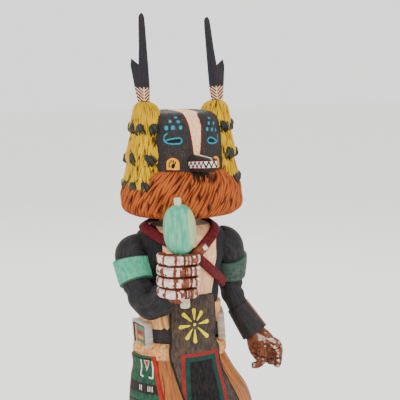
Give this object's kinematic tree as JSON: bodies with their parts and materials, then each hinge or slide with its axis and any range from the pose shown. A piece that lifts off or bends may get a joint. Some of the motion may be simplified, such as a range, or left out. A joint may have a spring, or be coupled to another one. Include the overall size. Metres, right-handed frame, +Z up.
{
  "type": "kachina doll",
  "caption": "Carved and painted wooden kachina doll with a masked head, feathers, a rattle and a long kilt, standing on a low base.",
  "frame": {"origin": "middle of the base's underside, on the surface that the doll stands on", "axes": "+Z up, the figure faces -Y and its right side is at -X"},
  "size_m": [0.1252, 0.0958, 0.3571],
  "materials": {
    "black_paint": "matt paint rubbed through to brown wood at the edges",
    "yellow_paint": "matt paint over carved strands",
    "orange_paint": "matt paint over carved strands",
    "turquoise_paint": "matt brushed paint",
    "cream_paint": "matt paint with wood showing through",
    "red_paint": "matt paint",
    "flesh_paint": "reddish brown paint with white daubs",
    "rust_paint": "stained wood, satin",
    "tan_paint": "stained wood, satin",
    "silver_paint": "grey paint, low sheen",
    "base_wood": "oiled wood, satin"
  },
  "bodies": {
    "root": {"carved_figure": "black_paint", "snout": "black_paint", "right_hair_bundle": "yellow_paint", "left_hair_bundle": "yellow_paint", "right_feather": "black_paint", "left_feather": "black_paint", "gourd_rattle": "turquoise_paint", "right_belt_plaque": "silver_paint", "left_belt_plaque": "silver_paint", "base": "base_wood"}
  },
  "joints": []
}
